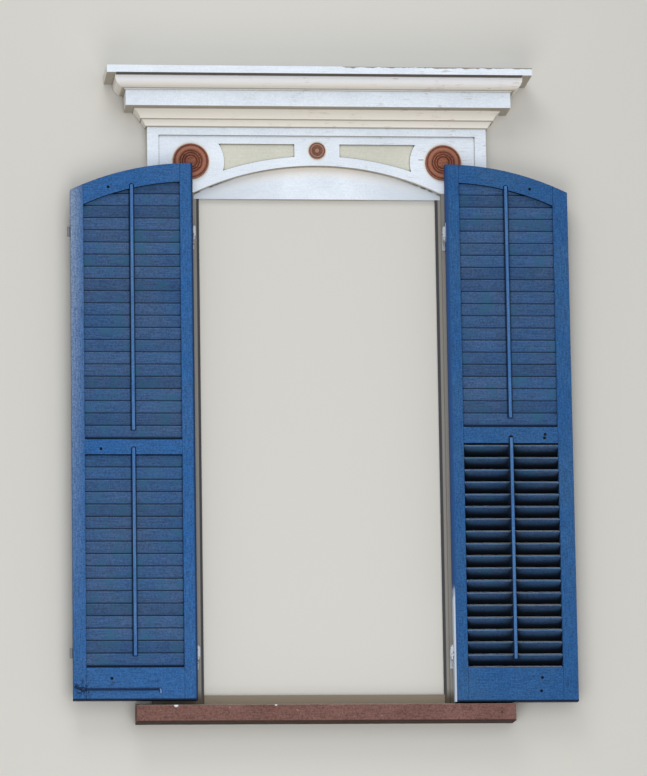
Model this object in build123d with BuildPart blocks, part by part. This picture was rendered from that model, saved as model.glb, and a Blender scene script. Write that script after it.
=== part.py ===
from build123d import *
from math import cos, radians, sin, sqrt
import os

os.makedirs("parts", exist_ok=True)

# A pair of louvred blinds, swung open, on the wooden surround of an arched window.
# X runs to the right, Y into the wall and Z up. Lengths are in millimetres, angles in degrees.
# The origin is the middle of the sill's back face, on the wall.
# A depth is measured from the wall towards the front, so a depth d lies at Y = -d.

# Sizes of the window surround
opening_width = 772.0
springing_height = 1621.0
arch_radius = 902.0
head_drop = 17.0
board_thickness = 30.0
casing_width = 143.0
band_width = 35.0
band_proud = 8.0
frieze_height = 205.0
top_band_height = 25.0
stop_width = 17.0
stop_thickness = 12.0
arch_panel_thickness = 12.0
board_fit = 0.3

# Sizes of the sill
sill_horn = 50.0
sill_depth = 92.0
sill_bottom = -30.0
sill_front_height = 51.0
sill_fall = 12.0
upstand_height = 25.0
upstand_thickness = 18.0
drip_width = 6.0
drip_depth = 4.0
drip_inset = 14.0

# Sizes of the spandrel panels and the turned rosettes
arch_band_width = 29.5
panel_inner_x = 70.5
panel_top_margin = 25.5
panel_recess = 7.0
panel_thickness = 12.0
rosette_outset = 8.0
rosette_rise = 97.0
rosette_radius = 55.5
rosette_thickness = 13.0
rosette_surround = 104.0
small_rosette_radius = 25.5
small_rosette_thickness = 9.0

# Sizes of the turning on a large rosette: radii from the middle out, and heights off its back
button_radius = 9.4
button_foot = 13.3
ring_inner = 16.6
ring_outer = 23.3
bead_inner = 27.8
bead_middle = 36.6
bead_outer = 45.5
rim_inner = 51.1
groove_height = 6.5
ring_height = 11.0
bead_foot = 7.2
bead_height = 12.4
rim_height = 9.1

# Sizes of the hood: each projection is measured out from the face of the bands
bed_toe = 5.0
bed_lower_height = 20.0
bed_lower_projection = 18.0
bed_fillet = 4.0
bed_projection = 42.0
bed_height = 52.0
corona_projection = 70.0
corona_height = 50.0
crown_toe = 4.0
crown_fillet = 3.0
crown_projection = 104.0
crown_radius = 30.0
crown_lip = 9.0
crown_height = 40.0
cap_projection = 131.0
cap_thickness = 23.0
cap_fall = 5.0

# Sizes that both leaves share
leaf_clearance = 9.0
leaf_thickness = 32.0
leaf_arch_step = 32.0
leaf_head_gap = 4.0
louvre_pitch = 38.1
louvre_margin = 22.5
louvre_gap = 0.6
tip_reach = 19.25
tip_radius = 2.75
louvre_crown = 4.6
pin_radius = 4.0
pin_length = 10.0
pin_fit = 0.1
pin_hole_spare = 2.0
closed_tilt = 80.0
arris = 0.8
tenon_thickness = 10.0
tenon_length = 28.0
tenon_shoulder = 12.0
joint_fit = 0.2

# Sizes of the tilt rods and of the notches that their heads slide into
rod_width = 10.5
rod_thickness = 11.0
rod_gap = 0.3
rod_bite = 0.5
rod_end_radius = 3.5
rod_foot_clearance = 1.0
rod_head_rise = 21.0
upper_rod_foot_rise = 30.0
upper_rod_head_rise = 12.0
notch_spare = 3.0
notch_back = 1.5
notch_side = 2.25

# Sizes of the left leaf: its meeting gap is left between its free edge, shut, and the window's middle
left_bottom = 37.0
left_bottom_rail = 99.0
left_lower_count = 17
left_lock_rail = 46.0
left_top_rail = 58.0
left_inner_stile = 40.0
left_outer_stile = 40.0
left_meeting_gap = 7.0
left_rest_tilt = closed_tilt
left_lowest_tilt = -60.0

# Sizes of the right leaf
right_bottom = 28.0
right_bottom_rail = 106.0
right_lower_count = 18
right_lock_rail = 50.0
right_top_rail = 57.0
right_inner_stile = 42.0
right_outer_stile = 46.0
right_meeting_gap = 4.0
right_rest_tilt = 45.0
right_lowest_tilt = -30.0

# Sizes of the hinges: an eye on the leaf drops over a pintle on the casing
pintle_radius = 3.0
pintle_fit = 0.1
edge_offset = 4.0
eye_radius = 5.5
eye_height = 30.0
eye_plate_thickness = 2.5
eye_plate_width = 20.0
eye_plate_height = 60.0
lower_hinge_height = 185.0
upper_hinge_drop = 131.0
old_eye_shift = -3.0
seat_gap = 0.3
arm_height = 10.0
pintle_plate_width = 30.0
pintle_plate_height = 60.0
pintle_plate_thickness = 3.0
pintle_head = 4.0

# Sizes of the wire fastener on the left leaf's bottom rail
hook_pivot_inset = 30.0
hook_pivot_rise = 33.0
hook_wire_radius = 2.5
hook_length = 235.0
hook_drop = 13.0
hook_bend = 5.0
hook_tail = 26.0
hook_tail_rise = 7.0
hook_ring_radius = 7.0
hook_face_gap = 0.5
bolt_radius = 3.0
bolt_head_radius = 5.5
bolt_head_height = 3.0
bolt_head_taper = 4.4
stop_pin_radius = 2.0
stop_pin_inset = 9.0

# Sizes of the old screw holes: set in from the outer edge, and up from the rail's lower edge
screw_radius = 2.2
screw_sink_radius = 4.0
screw_depth = 14.0
left_top_screw = (117.0, 24.0)
left_lock_screw = (89.0, 17.0)
left_bottom_screw = (117.0, 66.0)
right_top_screw = (117.0, 24.0)
right_lock_screws = ((86.0, 27.0), (88.0, 16.0))
right_bottom_screws = ((111.0, 73.0), (115.0, 32.0))

# Places worked out from the sizes above
opening_half = opening_width / 2
casing_outer = opening_half + casing_width
band_front = board_thickness + band_proud
head_height = springing_height - head_drop
frieze_top = springing_height + frieze_height
band_bottom = frieze_top - top_band_height
arch_rise = arch_radius - sqrt(arch_radius**2 - opening_half**2)
arch_crown = springing_height + arch_rise
arch_centre = arch_crown - arch_radius
rosette_x = opening_half + rosette_outset
rosette_height = springing_height + rosette_rise
small_rosette_height = (arch_crown + band_bottom) / 2
sill_length = 2 * (casing_outer + sill_horn)
sill_front_top = sill_bottom + sill_front_height
sill_back_top = sill_front_top + sill_fall
leaf_back = board_thickness + rosette_thickness + leaf_clearance
leaf_front = leaf_back + leaf_thickness
leaf_middle = leaf_back + leaf_thickness / 2
leaf_arch_radius = arch_radius - leaf_arch_step
pivot_x = opening_half + pintle_radius
leaf_edge = pivot_x + edge_offset
leaf_room = pivot_x - edge_offset
hinge_heights = (lower_hinge_height, springing_height - upper_hinge_drop)
closed_rod_back = leaf_middle + tip_reach * cos(radians(closed_tilt)) + tip_radius + rod_gap
notch_width = rod_width + 2 * notch_side
notch_depth = leaf_front - closed_rod_back + notch_back


def sill_top(depth):
    """Height of the sloping top of the sill at a depth from the wall."""
    return sill_back_top - sill_fall * depth / sill_depth


def bank_height(count):
    """Height of an opening that holds a number of louvres."""
    return (count - 1) * louvre_pitch + 2 * louvre_margin


def bank_count(height):
    """Number of louvres that an opening of a height has room for."""
    return int((height - 2 * louvre_margin) / louvre_pitch) + 1


def finish(piece, label):
    """Name a finished piece and write it to its own file."""
    piece.part.label = label
    export_step(piece.part, f"parts/{label}.step")


class Leaf:
    """One leaf: its heights from the bottom up, and its widths from the hinge edge out."""

    def __init__(self, name, side, bottom, rails, stiles, lower_count, meeting_gap, tilts):
        bottom_rail, lock_rail, self.top_rail = rails
        inner_stile, outer_stile = stiles
        self.rest_tilt, self.lowest_tilt = tilts
        self.name = name
        self.side = side
        self.bottom = bottom
        self.inner_stile = inner_stile
        self.lower_count = lower_count
        self.width = leaf_room - meeting_gap
        self.outer_joint = self.width - outer_stile
        self.louvre_width = self.outer_joint - inner_stile
        self.rod_place = inner_stile + self.louvre_width / 2
        self.lower_sill = bottom + bottom_rail
        self.lower_head = self.lower_sill + bank_height(lower_count)
        self.upper_sill = self.lower_head + lock_rail
        highest_apex = arch_crown - leaf_head_gap - self.top_rail
        self.upper_count = bank_count(highest_apex - self.upper_sill)
        self.apex = self.upper_sill + bank_height(self.upper_count)
        self.top = self.apex + self.top_rail

    def x(self, place):
        """X of a place measured out from the hinge edge."""
        return self.side * (leaf_edge + place)

    def arc(self, place, inset=0.0):
        """Height of the arched top, or of a curve that runs inset below it."""
        return self.top - leaf_arch_radius + sqrt((leaf_arch_radius - inset) ** 2 - place**2)

    def under_top_rail(self, place):
        """Height of the top rail's lower edge."""
        return self.arc(place, self.top_rail)

    def rails(self):
        """Name, lower edge and upper edge of each rail."""
        return (
            ("bottom_rail", lambda place: self.bottom, lambda place: self.lower_sill),
            ("lock_rail", lambda place: self.lower_head, lambda place: self.upper_sill),
            ("top_rail", self.under_top_rail, self.arc),
        )

    def lower_axis(self, index):
        """Height of the pins of a lower louvre, counted from the bottom."""
        return self.lower_sill + louvre_margin + index * louvre_pitch

    def upper_axis(self, index):
        """Height of the middle of an upper louvre, counted from the bottom."""
        return self.upper_sill + louvre_margin + index * louvre_pitch


left_leaf = Leaf(
    name="left",
    side=-1,
    bottom=left_bottom,
    rails=(left_bottom_rail, left_lock_rail, left_top_rail),
    stiles=(left_inner_stile, left_outer_stile),
    lower_count=left_lower_count,
    meeting_gap=left_meeting_gap,
    tilts=(left_rest_tilt, left_lowest_tilt),
)
right_leaf = Leaf(
    name="right",
    side=1,
    bottom=right_bottom,
    rails=(right_bottom_rail, right_lock_rail, right_top_rail),
    stiles=(right_inner_stile, right_outer_stile),
    lower_count=right_lower_count,
    meeting_gap=right_meeting_gap,
    tilts=(right_rest_tilt, right_lowest_tilt),
)
leaves = (left_leaf, right_leaf)


def leaf_block(leaf, places, depths, heights, mode=Mode.ADD):
    """A square-cut block on a leaf, between two places, two depths and two heights."""
    middle = (
        leaf.x(sum(places) / 2),
        -sum(depths) / 2,
        sum(heights) / 2,
    )
    with Locations(middle):
        Box(places[1] - places[0], depths[1] - depths[0], heights[1] - heights[0], mode=mode)


# Sill: a sloping board with horns, a drip groove below and an upstand at the back
with BuildPart() as sill:
    with BuildSketch(Plane.YZ.offset(-sill_length / 2)):
        with BuildLine():
            Polyline(
                (0, sill_bottom),
                (-sill_depth, sill_bottom),
                (-sill_depth, sill_front_top),
                (0, sill_back_top),
                close=True,
            )
        make_face()
    extrude(amount=sill_length)
    upstand_half = opening_half - stop_width
    with BuildSketch(Plane.YZ.offset(-upstand_half)):
        with BuildLine():
            Polyline(
                (0, sill_top(0)),
                (-upstand_thickness, sill_top(upstand_thickness)),
                (-upstand_thickness, sill_back_top + upstand_height - board_fit),
                (0, sill_back_top + upstand_height),
                close=True,
            )
        make_face()
    extrude(amount=2 * upstand_half)
    with BuildSketch(Plane.XY.offset(sill_bottom)):
        with Locations((0, drip_inset - sill_depth)):
            Rectangle(sill_length, drip_width)
    extrude(amount=drip_depth, mode=Mode.SUBTRACT)
finish(sill, "sill")

# Side casings: a flat board with a raised outer band and a stop along the opening
with BuildPart() as side_casings:
    for side in (-1, 1):
        strips = (
            (opening_half, casing_width, 0, board_thickness, springing_height),
            (casing_outer - band_width, band_width, board_thickness, band_front, springing_height),
            (opening_half - stop_width, stop_width, 0, stop_thickness, head_height),
        )
        for inner, width, back, front, top in strips:
            with BuildSketch(Plane.YZ.offset(min(side * inner, side * (inner + width)))):
                with BuildLine():
                    Polyline(
                        (-back, sill_top(back)),
                        (-front, sill_top(front)),
                        (-front, top),
                        (-back, top),
                        close=True,
                    )
                make_face()
            extrude(amount=width)
finish(side_casings, "side_casings")


def spandrel_outline(side, fit):
    """A spandrel panel: flat top and inner end, hollowed by the arch and by the rosette."""
    inner = panel_inner_x + fit
    top = band_bottom - panel_top_margin - fit
    width = rosette_x - inner
    height = top - springing_height
    with BuildSketch(mode=Mode.PRIVATE) as outline:
        with Locations((side * (inner + width / 2), top - height / 2)):
            Rectangle(width, height)
        with Locations((0, arch_centre)):
            Circle(arch_radius + arch_band_width + fit, mode=Mode.SUBTRACT)
        with Locations((side * rosette_x, rosette_height)):
            Circle(rosette_surround + fit, mode=Mode.SUBTRACT)
    return outline.sketch


# Frieze: a board cut to the arch and pierced for the panels, with bands along its top and ends
with BuildPart() as frieze:
    with BuildSketch(Plane.XZ):
        with Locations((0, springing_height + frieze_height / 2)):
            Rectangle(2 * casing_outer, frieze_height)
        with Locations((0, arch_centre)):
            Circle(arch_radius, mode=Mode.SUBTRACT)
        for side in (-1, 1):
            add(spandrel_outline(side, 0), mode=Mode.SUBTRACT)
    extrude(amount=board_thickness)
    with BuildSketch(Plane.XZ.offset(board_thickness)):
        with Locations((0, band_bottom + top_band_height / 2)):
            Rectangle(2 * casing_outer, top_band_height)
        strip_height = band_bottom - springing_height
        with Locations(
            (band_width / 2 - casing_outer, springing_height + strip_height / 2),
            (casing_outer - band_width / 2, springing_height + strip_height / 2),
        ):
            Rectangle(band_width, strip_height)
    extrude(amount=band_proud)
finish(frieze, "frieze")

# Spandrel panels: two shaped boards sunk in the frieze
with BuildPart() as spandrel_panels:
    with BuildSketch(Plane.XZ.offset(board_thickness - panel_recess - panel_thickness)):
        for side in (-1, 1):
            add(spandrel_outline(side, board_fit))
    extrude(amount=panel_thickness)
finish(spandrel_panels, "spandrel_panels")

# Arch panel: the board that fills the head of the arch above the square window
with BuildPart() as arch_panel:
    with BuildSketch(Plane.XZ):
        with Locations((0, (head_height + arch_crown) / 2)):
            Rectangle(opening_width - 2 * board_fit, arch_crown - head_height)
        with Locations((0, arch_centre)):
            Circle(arch_radius - board_fit, mode=Mode.INTERSECT)
    extrude(amount=arch_panel_thickness)
finish(arch_panel, "arch_panel")


def turned_section(radius, thickness):
    """Half section of a rosette: button, inner ring, wide bead and rim, drawn to its own size."""
    across = radius / rosette_radius
    up = thickness / rosette_thickness
    with BuildSketch(mode=Mode.PRIVATE) as section:
        with BuildLine():
            Polyline(
                (across * bead_inner, up * bead_foot),
                (across * ring_outer, up * ring_height),
                (across * ring_inner, up * ring_height),
                (across * button_foot, up * groove_height),
                (across * button_radius, thickness),
                (0, thickness),
                (0, 0),
                (radius, 0),
                (radius, up * groove_height),
                (across * rim_inner, up * rim_height),
                (across * bead_outer, up * groove_height),
            )
            ThreePointArc(
                (across * bead_outer, up * groove_height),
                (across * bead_middle, up * bead_height),
                (across * bead_inner, up * bead_foot),
            )
        make_face()
    return section.sketch


# Rosettes: two large ones at the corners and a small one over the crown of the arch
with BuildPart() as rosettes:
    turnings = (
        (-rosette_x, rosette_height, rosette_radius, rosette_thickness),
        (rosette_x, rosette_height, rosette_radius, rosette_thickness),
        (0, small_rosette_height, small_rosette_radius, small_rosette_thickness),
    )
    for centre_x, centre_z, radius, thickness in turnings:
        centre = (centre_x, -board_thickness, centre_z)
        with BuildSketch(Plane(origin=centre, x_dir=(1, 0, 0), z_dir=(0, 0, -1))):
            add(turned_section(radius, thickness))
        revolve(axis=Axis(centre, (0, -1, 0)))
finish(rosettes, "rosettes")

# Hood: bed moulding, corona and crown moulding, mitred round both ends under a sloping cap
bed_step = bed_lower_height + bed_fillet
corona_base = bed_height
crown_base = corona_base + corona_height
crown_start = corona_projection + crown_toe
crown_spring = crown_base + crown_fillet
crown_lip_base = crown_base + crown_height - crown_lip
cap_base = crown_base + crown_height
with BuildPart() as hood:
    with BuildLine():
        Polyline(
            (-casing_outer, 0, frieze_top),
            (-casing_outer, -band_front, frieze_top),
            (casing_outer, -band_front, frieze_top),
            (casing_outer, 0, frieze_top),
        )
    start = (-casing_outer, 0, frieze_top)
    with BuildSketch(Plane(origin=start, x_dir=(1, 0, 0), z_dir=(0, -1, 0))):
        with BuildLine():
            Line((0, 0), (-bed_toe, 0))
            RadiusArc((-bed_toe, 0), (-bed_lower_projection, bed_lower_height), -bed_height)
            Polyline(
                (-bed_lower_projection, bed_lower_height),
                (-bed_lower_projection - bed_fillet, bed_lower_height),
                (-bed_lower_projection - bed_fillet, bed_step),
            )
            RadiusArc(
                (-bed_lower_projection - bed_fillet, bed_step),
                (-bed_projection, bed_height - bed_fillet),
                -bed_height,
            )
            Polyline(
                (-bed_projection, bed_height - bed_fillet),
                (-bed_projection, corona_base),
                (-corona_projection, corona_base),
                (-corona_projection, crown_base),
                (-crown_start, crown_base),
                (-crown_start, crown_spring),
            )
            RadiusArc(
                (-crown_start, crown_spring),
                (-crown_projection, crown_lip_base),
                crown_radius,
            )
            Polyline(
                (-crown_projection, crown_lip_base),
                (-crown_projection, cap_base),
                (0, cap_base),
                (0, 0),
            )
        make_face()
    sweep(transition=Transition.RIGHT)
    with BuildSketch(Plane.XY.offset(frieze_top)):
        with Locations((0, -band_front / 2)):
            Rectangle(2 * casing_outer, band_front)
    extrude(amount=cap_base)
    cap_half = casing_outer + cap_projection
    cap_front = band_front + cap_projection
    with BuildSketch(Plane.YZ.offset(-cap_half)):
        with BuildLine():
            Polyline(
                (0, frieze_top + cap_base),
                (-cap_front, frieze_top + cap_base),
                (-cap_front, frieze_top + cap_base + cap_thickness),
                (0, frieze_top + cap_base + cap_thickness + cap_fall),
                close=True,
            )
        make_face()
    extrude(amount=2 * cap_half)
finish(hood, "hood")

# Pintles: four brackets on the casings, each with an upright pin
with BuildPart() as pintles:
    for side in (-1, 1):
        for height in hinge_heights:
            arm_top = height - eye_height / 2 - seat_gap
            with Locations((side * pivot_x, -(board_thickness + leaf_middle) / 2, arm_top - arm_height / 2)):
                Box(2 * pintle_radius, leaf_middle - board_thickness, arm_height)
            with BuildSketch(Plane.XY.offset(arm_top - arm_height)):
                with Locations((side * pivot_x, -leaf_middle)):
                    Circle(pintle_radius)
            extrude(amount=arm_height + seat_gap + eye_height + pintle_head)
            with Locations((
                side * (opening_half + pintle_plate_width / 2),
                -board_thickness - pintle_plate_thickness / 2,
                arm_top - arm_height / 2,
            )):
                Box(pintle_plate_width, pintle_plate_thickness, pintle_plate_height)
finish(pintles, "pintles")


def tenon_heights(low_edge, high_edge, places):
    """Height range of a tenon, inside both edges of its rail at its root and at its tip."""
    low = max(low_edge(place) for place in places) + tenon_shoulder
    high = min(high_edge(place) for place in places) - tenon_shoulder
    return low, high


def build_stile(leaf, label, places, joint, away, pocket_heights):
    """A stile: arched top, mortises and pin holes at the joint, hinge pockets in the other edge."""
    low, high = places
    middle = (low + high) / 2
    edge = high if joint == low else low
    with BuildPart() as stile:
        with BuildSketch(Plane.XZ.offset(leaf_back)):
            with BuildLine():
                Polyline(
                    (leaf.x(low), leaf.arc(low)),
                    (leaf.x(low), leaf.bottom),
                    (leaf.x(high), leaf.bottom),
                    (leaf.x(high), leaf.arc(high)),
                )
                ThreePointArc(
                    (leaf.x(high), leaf.arc(high)),
                    (leaf.x(middle), leaf.arc(middle)),
                    (leaf.x(low), leaf.arc(low)),
                )
            make_face()
        extrude(amount=leaf_thickness)
        chamfer(stile.edges().filter_by(Axis.Z), length=arris)
        for _, low_edge, high_edge in leaf.rails():
            tip = joint + away * tenon_length
            bottom, top = tenon_heights(low_edge, high_edge, (joint, tip))
            leaf_block(
                leaf,
                sorted((joint, tip + away * joint_fit)),
                (
                    leaf_middle - tenon_thickness / 2 - joint_fit,
                    leaf_middle + tenon_thickness / 2 + joint_fit,
                ),
                (bottom - joint_fit, top + joint_fit),
                mode=Mode.SUBTRACT,
            )
        with BuildSketch(Plane.YZ.offset(leaf.x(joint))):
            with Locations(*[(-leaf_middle, leaf.lower_axis(i)) for i in range(leaf.lower_count)]):
                Circle(pin_radius + pin_fit)
        hole_depth = pin_length + pin_hole_spare
        extrude(amount=leaf.side * away * hole_depth, mode=Mode.SUBTRACT)
        for height in pocket_heights:
            leaf_block(
                leaf,
                sorted((edge, edge - away * eye_plate_thickness)),
                (leaf_middle - eye_plate_width / 2, leaf_middle + eye_plate_width / 2),
                (height - eye_plate_height / 2, height + eye_plate_height / 2),
                mode=Mode.SUBTRACT,
            )
    finish(stile, f"{leaf.name}_{label}")


def rail_edge(leaf, height_at, places):
    """A long edge of a rail: an arc if its height changes along it, or else a straight line."""
    first, middle, last = [(leaf.x(place), height_at(place)) for place in places]
    if first[1] == middle[1]:
        Line(first, last)
    else:
        ThreePointArc(first, middle, last)


def build_rail(leaf, label, low_edge, high_edge, notch_rise, screws):
    """A rail: tenons into both stiles, a notch for a rod's head and old screw holes."""
    start = leaf.inner_stile
    end = leaf.outer_joint
    middle = leaf.rod_place
    with BuildPart() as rail:
        with BuildSketch(Plane.XZ.offset(leaf_back)):
            with BuildLine():
                rail_edge(leaf, high_edge, (start, middle, end))
                Line((leaf.x(end), high_edge(end)), (leaf.x(end), low_edge(end)))
                rail_edge(leaf, low_edge, (end, middle, start))
                Line((leaf.x(start), low_edge(start)), (leaf.x(start), high_edge(start)))
            make_face()
        extrude(amount=leaf_thickness)
        for joint, away in ((start, -1), (end, 1)):
            tip = joint + away * tenon_length
            leaf_block(
                leaf,
                sorted((joint, tip)),
                (leaf_middle - tenon_thickness / 2, leaf_middle + tenon_thickness / 2),
                tenon_heights(low_edge, high_edge, (joint, tip)),
            )
        if notch_rise:
            with BuildSketch(Plane.XZ.offset(leaf_front)):
                arc_height = low_edge(middle) + notch_rise - notch_width / 2
                with Locations((leaf.x(middle), arc_height)):
                    Circle(notch_width / 2)
                with Locations((leaf.x(middle), arc_height - notch_rise)):
                    Rectangle(notch_width, 2 * notch_rise)
            extrude(amount=-notch_depth, mode=Mode.SUBTRACT)
        for inset, rise in screws:
            place = leaf.width - inset
            with Locations(Plane.XZ.offset(leaf_front)):
                with Locations((leaf.x(place), low_edge(place) + rise)):
                    CounterSinkHole(screw_radius, screw_sink_radius, depth=screw_depth)
    finish(rail, f"{leaf.name}_{label}")


# Stiles and rails of both leaves
old_eye_heights = tuple(height + old_eye_shift for height in hinge_heights)
outer_pockets = {"left": old_eye_heights, "right": ()}
rail_screws = {
    "left": ((left_bottom_screw,), (left_lock_screw,), (left_top_screw,)),
    "right": (right_bottom_screws, right_lock_screws, (right_top_screw,)),
}
notch_rises = (0, rod_head_rise + notch_spare, upper_rod_head_rise + notch_spare)
for leaf in leaves:
    build_stile(leaf, "hinge_stile", (0, leaf.inner_stile), leaf.inner_stile, -1, hinge_heights)
    build_stile(
        leaf,
        "outer_stile",
        (leaf.outer_joint, leaf.width),
        leaf.outer_joint,
        1,
        outer_pockets[leaf.name],
    )
    for rail, notch_rise, screws in zip(leaf.rails(), notch_rises, rail_screws[leaf.name]):
        label, low_edge, high_edge = rail
        build_rail(leaf, label, low_edge, high_edge, notch_rise, screws)

# Section of a louvre: two crowned faces between rounded edges
with BuildSketch() as louvre_section:
    with BuildLine():
        ThreePointArc((-tip_reach, tip_radius), (0, louvre_crown), (tip_reach, tip_radius))
        ThreePointArc((tip_reach, tip_radius), (tip_reach + tip_radius, 0), (tip_reach, -tip_radius))
        ThreePointArc((tip_reach, -tip_radius), (0, -louvre_crown), (-tip_reach, -tip_radius))
        ThreePointArc((-tip_reach, -tip_radius), (-tip_reach - tip_radius, 0), (-tip_reach, tip_radius))
    make_face()


def louvre_plane(start_x, axis_height, tilt):
    """Plane square to a louvre's pins, turned so that its front edge is raised by the tilt."""
    return Plane(
        origin=(start_x, -leaf_middle, axis_height),
        x_dir=(0, -cos(radians(tilt)), sin(radians(tilt))),
        z_dir=(1, 0, 0),
    )


def opening_start(leaf):
    """Lowest X of the gap between a leaf's stiles."""
    return min(leaf.x(leaf.inner_stile), leaf.x(leaf.outer_joint))


def rod_back(tilt):
    """Depth of a rod's back face, just clear of the rounded edges of its louvres."""
    return leaf_middle + tip_reach * cos(radians(tilt)) + tip_radius + rod_gap


def rod_foot(leaf):
    """Height of a lower rod's foot, which comes down to the rail at the leaf's lowest tilt."""
    travel = tip_reach * (sin(radians(leaf.rest_tilt)) - sin(radians(leaf.lowest_tilt)))
    return leaf.lower_sill + rod_foot_clearance + travel


def build_louvre(leaf, index):
    """A lower louvre: one slat with a turned pin at each end."""
    start = opening_start(leaf) + louvre_gap
    length = leaf.louvre_width - 2 * louvre_gap
    section_plane = louvre_plane(start, leaf.lower_axis(index), leaf.rest_tilt)
    with BuildPart() as louvre:
        with BuildSketch(section_plane):
            add(louvre_section.sketch)
        extrude(amount=length)
        with BuildSketch(section_plane.offset(-pin_length)):
            Circle(pin_radius)
        extrude(amount=length + 2 * pin_length)
    finish(louvre, f"{leaf.name}_louvre_{index + 1:02d}")


def build_lower_rod(leaf):
    """The tilt rod of the lower louvres, with rounded ends and eased front edges."""
    foot = rod_foot(leaf)
    drop = tip_reach * (sin(radians(closed_tilt)) - sin(radians(leaf.rest_tilt)))
    head = leaf.lower_head + rod_head_rise - drop
    with BuildPart() as rod:
        with BuildSketch(Plane.XZ.offset(rod_back(leaf.rest_tilt))):
            with Locations((leaf.x(leaf.rod_place), (foot + head) / 2)):
                RectangleRounded(rod_width, head - foot, rod_end_radius)
        extrude(amount=rod_thickness)
        chamfer(rod.edges().filter_by(Axis.Z).group_by(Axis.Y)[0], length=arris)
    finish(rod, f"{leaf.name}_lower_rod")


def build_upper_louvres(leaf):
    """The upper louvres, painted fast: slats cut to the arch and held by their rod."""
    first = leaf.inner_stile
    last = leaf.outer_joint
    middle = leaf.rod_place
    cut_top = leaf.top + louvre_margin
    with BuildPart() as bank:
        for index in range(leaf.upper_count):
            with BuildSketch(louvre_plane(opening_start(leaf), leaf.upper_axis(index), closed_tilt)):
                add(louvre_section.sketch)
            extrude(amount=leaf.louvre_width)
        with BuildSketch(Plane.XZ.offset(leaf_back)):
            with BuildLine():
                ThreePointArc(
                    (leaf.x(first), leaf.under_top_rail(first) - board_fit),
                    (leaf.x(middle), leaf.under_top_rail(middle) - board_fit),
                    (leaf.x(last), leaf.under_top_rail(last) - board_fit),
                )
                Polyline(
                    (leaf.x(last), leaf.under_top_rail(last) - board_fit),
                    (leaf.x(last), cut_top),
                    (leaf.x(first), cut_top),
                    (leaf.x(first), leaf.under_top_rail(first) - board_fit),
                )
            make_face()
        extrude(amount=leaf_thickness, mode=Mode.SUBTRACT)
        foot = leaf.upper_sill + upper_rod_foot_rise
        head = leaf.under_top_rail(middle) + upper_rod_head_rise
        with BuildSketch(Plane.XZ.offset(rod_back(closed_tilt) - rod_gap - rod_bite)):
            with Locations((leaf.x(middle), (foot + head) / 2)):
                RectangleRounded(rod_width, head - foot, rod_end_radius)
        extrude(amount=rod_thickness + rod_gap + rod_bite)
    finish(bank, f"{leaf.name}_upper_louvres")


for leaf in leaves:
    build_upper_louvres(leaf)
    build_lower_rod(leaf)
    for index in range(leaf.lower_count):
        build_louvre(leaf, index)


def add_eye(axis_x, outward, height):
    """A hinge eye: a barrel round the pin and a plate let into the edge of the stile."""
    plate_middle = axis_x + outward * (edge_offset + eye_plate_thickness / 2)
    with Locations((axis_x, -leaf_middle, height)):
        Cylinder(eye_radius, eye_height)
    with Locations((plate_middle, -leaf_middle, height)):
        Box(eye_plate_thickness, eye_plate_width, eye_plate_height)
    with Locations((axis_x, -leaf_middle, height)):
        Cylinder(pintle_radius + pintle_fit, eye_plate_height, mode=Mode.SUBTRACT)


# Ironwork of the right leaf: two hinge eyes
with BuildPart() as right_leaf_irons:
    for height in hinge_heights:
        add_eye(pivot_x, 1, height)
finish(right_leaf_irons, "right_leaf_irons")

# Place of the wire fastener, on the face of the left leaf's bottom rail
hook_x = left_leaf.x(left_leaf.width - hook_pivot_inset)
hook_z = left_leaf.bottom + hook_pivot_rise
hook_depth = leaf_front + hook_face_gap + hook_wire_radius
stop_pin_z = hook_z + hook_tail_rise + hook_wire_radius + stop_pin_radius + seat_gap

# Ironwork of the left leaf: hinge eyes, old eyes on the outer edge, fastener bolt and stop pin
with BuildPart() as left_leaf_irons:
    for height in hinge_heights:
        add_eye(-pivot_x, -1, height)
    old_axis = left_leaf.x(left_leaf.width) - edge_offset
    for height in old_eye_heights:
        add_eye(old_axis, 1, height)
    ring_front = hook_face_gap + 2 * hook_wire_radius + seat_gap
    with BuildSketch(Plane.XZ.offset(leaf_front)):
        with Locations((hook_x, hook_z)):
            Circle(bolt_radius)
    extrude(amount=ring_front)
    with BuildSketch(Plane.XZ.offset(leaf_front + ring_front)):
        with Locations((hook_x, hook_z)):
            Circle(bolt_head_radius)
    extrude(amount=bolt_head_height, taper=bolt_head_taper)
    with BuildSketch(Plane.XZ.offset(leaf_front)):
        with Locations((left_leaf.x(left_leaf.width - stop_pin_inset), stop_pin_z)):
            Circle(stop_pin_radius)
    extrude(amount=ring_front)
finish(left_leaf_irons, "left_leaf_irons")

# Wire fastener: a ring on the bolt, a long arm with a turned-down tip and a short tail
with BuildPart() as left_hook:
    with BuildLine() as wire:
        FilletPolyline(
            (hook_x - hook_tail, -hook_depth, hook_z + hook_tail_rise),
            (hook_x, -hook_depth, hook_z),
            (hook_x + hook_length, -hook_depth, hook_z),
            (hook_x + hook_length, -hook_depth, hook_z - hook_drop),
            radius=hook_bend,
        )
    with BuildSketch(Plane(origin=wire.line @ 0, z_dir=wire.line % 0)):
        Circle(hook_wire_radius)
    sweep()
    with Locations((hook_x, -hook_depth, hook_z)):
        Cylinder(hook_ring_radius, 2 * hook_wire_radius, rotation=(90, 0, 0))
        Cylinder(
            bolt_radius + pintle_fit,
            2 * hook_wire_radius,
            rotation=(90, 0, 0),
            mode=Mode.SUBTRACT,
        )
finish(left_hook, "left_hook")
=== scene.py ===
# %% [markdown]
# # Louvred blinds on an arched window surround
#
# A pair of blue louvred blinds hangs open on a white wooden surround, with a moulded hood above
# and a red-brown sill below. The solids arrive already at their real size and place, so this
# scene gives them their finish, and models the small things that a joiner adds last: the turned
# rosettes and the screws. Lengths are in metres, and Z is up.

from math import cos, pi, radians, sin

import bpy
from mathutils import Matrix, Vector


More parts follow.
